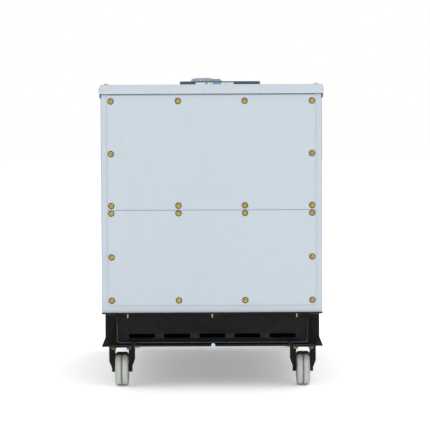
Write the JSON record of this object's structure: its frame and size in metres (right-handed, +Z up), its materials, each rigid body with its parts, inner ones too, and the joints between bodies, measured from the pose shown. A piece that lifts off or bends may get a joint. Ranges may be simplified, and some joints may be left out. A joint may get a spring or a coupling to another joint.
{
  "type": "engine driven welder",
  "caption": "Enclosed engine driven welding generator on casters, with side doors, control end under a lifting cover, slotted base frame and roof fuel filler.",
  "frame": {"origin": "on the ground under the centre of the machine's outer box", "axes": "+Z up, +Y along the machine towards the control end, +X to the right seen from the plain end"},
  "size_m": [0.682, 1.122, 0.9084],
  "materials": {
    "alu": "cast",
    "black_paint": "satin",
    "black_plastic": "fine texture",
    "cast": "cast",
    "chrome": "polished",
    "copper_red": "varnish",
    "dark_tray": "satin",
    "glass": "clear",
    "grey_panel": "satin",
    "nylon": "satin",
    "red_plastic": "gloss",
    "rubber": "matte",
    "steel": "machined",
    "white_paint": "satin",
    "zinc": "satin",
    "zinc_yellow": "satin"
  },
  "bodies": {
    "root": {"air_cleaner": "black_plastic", "base_deck": "black_paint", "base_end_front": "black_paint", "base_end_rear": "black_paint", "base_rails": "black_paint", "battery": "black_plastic", "battery_leads": "rubber", "caster_bolts": "zinc_yellow", "control_panel": "grey_panel", "cylinders_and_heads": "alu", "enclosure_frame": "white_paint", "end_panel_lower": "white_paint", "end_panel_upper": "white_paint", "engine_block": "cast", "filler_tray": "dark_tray", "flywheel_shroud": "black_paint", "fuel_tank": "black_plastic", "generator_stator": "cast", "hinge_leaves": "black_paint", "hinge_pins": "steel", "output_terminals": "zinc_yellow", "panel_instruments": "black_plastic", "panel_screws": "zinc_yellow", "receptacles": "black_plastic", "rectifier_and_reactor": "alu", "rigid_casters": "black_paint", "roof_panel": "white_paint", "side_panels": "white_paint", "silencer": "steel", "starter_motor": "black_paint", "swivel_plates": "zinc", "vibration_mounts": "rubber"},
    "door_left": {"door_left": "white_paint"},
    "door_right": {"door_right": "white_paint"},
    "latch_left": {"latch_left": "black_plastic"},
    "latch_right": {"latch_right": "black_plastic"},
    "cover": {"control_cover": "white_paint", "cover_window": "glass"},
    "current_knob": {"current_knob": "black_plastic"},
    "arc_knob": {"arc_knob": "black_plastic"},
    "mode_knob": {"mode_knob": "black_plastic"},
    "key": {"ignition_key": "steel"},
    "estop": {"estop_button": "red_plastic"},
    "breaker": {"breaker_lever": "black_plastic"},
    "lid_a": {"receptacle_lid_a": "black_plastic"},
    "lid_b": {"receptacle_lid_b": "black_plastic"},
    "fuel_cap": {"fuel_cap": "chrome"},
    "bail": {"lifting_bail": "zinc"},
    "rain_flap": {"rain_flap": "steel"},
    "crank": {"crankshaft": "steel", "flywheel_fan": "alu", "generator_rotor": "copper_red"},
    "wheel_rear_left": {"wheel_rear_left": "nylon"},
    "wheel_rear_right": {"wheel_rear_right": "nylon"},
    "wheel_front_left": {"wheel_front_left": "nylon"},
    "wheel_front_right": {"wheel_front_right": "nylon"},
    "swivel_left": {"swivel_fork_left": "black_paint"},
    "swivel_right": {"swivel_fork_right": "black_paint"},
    "brake_left": {"brake_pedal_left": "zinc"},
    "brake_right": {"brake_pedal_right": "zinc"}
  },
  "joints": [
    {"name": "wheel_rear_left_spin", "type": "hinge", "parent": "root", "child": "wheel_rear_left", "pos_m": [-0.266, -0.485, 0.05], "axis": [1, 0, 0], "continuous": true},
    {"name": "swivel_left_turn", "type": "hinge", "parent": "root", "child": "swivel_left", "pos_m": [-0.266, 0.485, 0.115], "axis": [0, 0, 1], "continuous": true},
    {"name": "wheel_front_left_spin", "type": "hinge", "parent": "swivel_left", "child": "wheel_front_left", "pos_m": [-0.266, 0.453, 0.05], "axis": [1, 0, 0], "continuous": true},
    {"name": "brake_left_press", "type": "hinge", "parent": "swivel_left", "child": "brake_left", "pos_m": [-0.266, 0.409, 0.097], "axis": [1, 0, 0], "range_deg": [0, 14]},
    {"name": "door_left_swing", "type": "hinge", "parent": "root", "child": "door_left", "pos_m": [-0.328, 0.527, 0.53], "axis": [0, 0, -1], "range_deg": [0, 120]},
    {"name": "latch_left_turn", "type": "hinge", "parent": "door_left", "child": "latch_left", "pos_m": [-0.324, -0.055, 0.53], "axis": [-1, 0, 0], "range_deg": [0, 90]},
    {"name": "wheel_rear_right_spin", "type": "hinge", "parent": "root", "child": "wheel_rear_right", "pos_m": [0.266, -0.485, 0.05], "axis": [1, 0, 0], "continuous": true},
    {"name": "swivel_right_turn", "type": "hinge", "parent": "root", "child": "swivel_right", "pos_m": [0.266, 0.485, 0.115], "axis": [0, 0, 1], "continuous": true},
    {"name": "wheel_front_right_spin", "type": "hinge", "parent": "swivel_right", "child": "wheel_front_right", "pos_m": [0.266, 0.453, 0.05], "axis": [1, 0, 0], "continuous": true},
    {"name": "brake_right_press", "type": "hinge", "parent": "swivel_right", "child": "brake_right", "pos_m": [0.266, 0.409, 0.097], "axis": [1, 0, 0], "range_deg": [0, 14]},
    {"name": "door_right_swing", "type": "hinge", "parent": "root", "child": "door_right", "pos_m": [0.328, 0.527, 0.53], "axis": [0, 0, 1], "range_deg": [0, 120]},
    {"name": "latch_right_turn", "type": "hinge", "parent": "door_right", "child": "latch_right", "pos_m": [0.324, -0.055, 0.53], "axis": [-1, 0, 0], "range_deg": [0, 90]},
    {"name": "cover_lift", "type": "hinge", "parent": "root", "child": "cover", "pos_m": [0, 0.556, 0.8505], "axis": [1, 0, 0], "range_deg": [0, 90]},
    {"name": "current_knob_turn", "type": "hinge", "parent": "root", "child": "current_knob", "pos_m": [-0.08, 0.51, 0.64], "axis": [0, 1, 0], "range_deg": [-135, 135]},
    {"name": "arc_knob_turn", "type": "hinge", "parent": "root", "child": "arc_knob", "pos_m": [0.01, 0.51, 0.64], "axis": [0, 1, 0], "range_deg": [-135, 135]},
    {"name": "mode_knob_turn", "type": "hinge", "parent": "root", "child": "mode_knob", "pos_m": [0.09, 0.51, 0.64], "axis": [0, 1, 0], "range_deg": [-60, 60]},
    {"name": "key_turn", "type": "hinge", "parent": "root", "child": "key", "pos_m": [0.19, 0.51, 0.75], "axis": [0, 1, 0], "range_deg": [0, 90]},
    {"name": "estop_press", "type": "slide", "parent": "root", "child": "estop", "axis": [0, -1, 0], "range_m": [0, 0.006]},
    {"name": "breaker_flip", "type": "hinge", "parent": "root", "child": "breaker", "pos_m": [-0.19, 0.513, 0.63], "axis": [1, 0, 0], "range_deg": [-25, 25]},
    {"name": "lid_a_lift", "type": "hinge", "parent": "root", "child": "lid_a", "pos_m": [-0.19, 0.531, 0.492], "axis": [1, 0, 0], "range_deg": [0, 100], "stiffness_Nm_per_rad": 0.05, "springref_deg": -22.92},
    {"name": "lid_b_lift", "type": "hinge", "parent": "root", "child": "lid_b", "pos_m": [-0.09, 0.531, 0.492], "axis": [1, 0, 0], "range_deg": [0, 100], "stiffness_Nm_per_rad": 0.05, "springref_deg": -22.92},
    {"name": "fuel_cap_turn", "type": "hinge", "parent": "root", "child": "fuel_cap", "pos_m": [-0.014, -0.33, 0.895], "axis": [0, 0, 1], "range_deg": [0, 100]},
    {"name": "bail_lift", "type": "hinge", "parent": "root", "child": "bail", "pos_m": [0, 0.04, 0.871], "axis": [-1, 0, 0], "range_deg": [0, 90]},
    {"name": "rain_flap_open", "type": "hinge", "parent": "root", "child": "rain_flap", "pos_m": [0.2, 0.4285, 0.8884], "axis": [-1, 0, 0], "range_deg": [0, 75]},
    {"name": "crank_spin", "type": "hinge", "parent": "root", "child": "crank", "pos_m": [0, 0, 0.43], "axis": [0, 1, 0], "continuous": true}
  ]
}
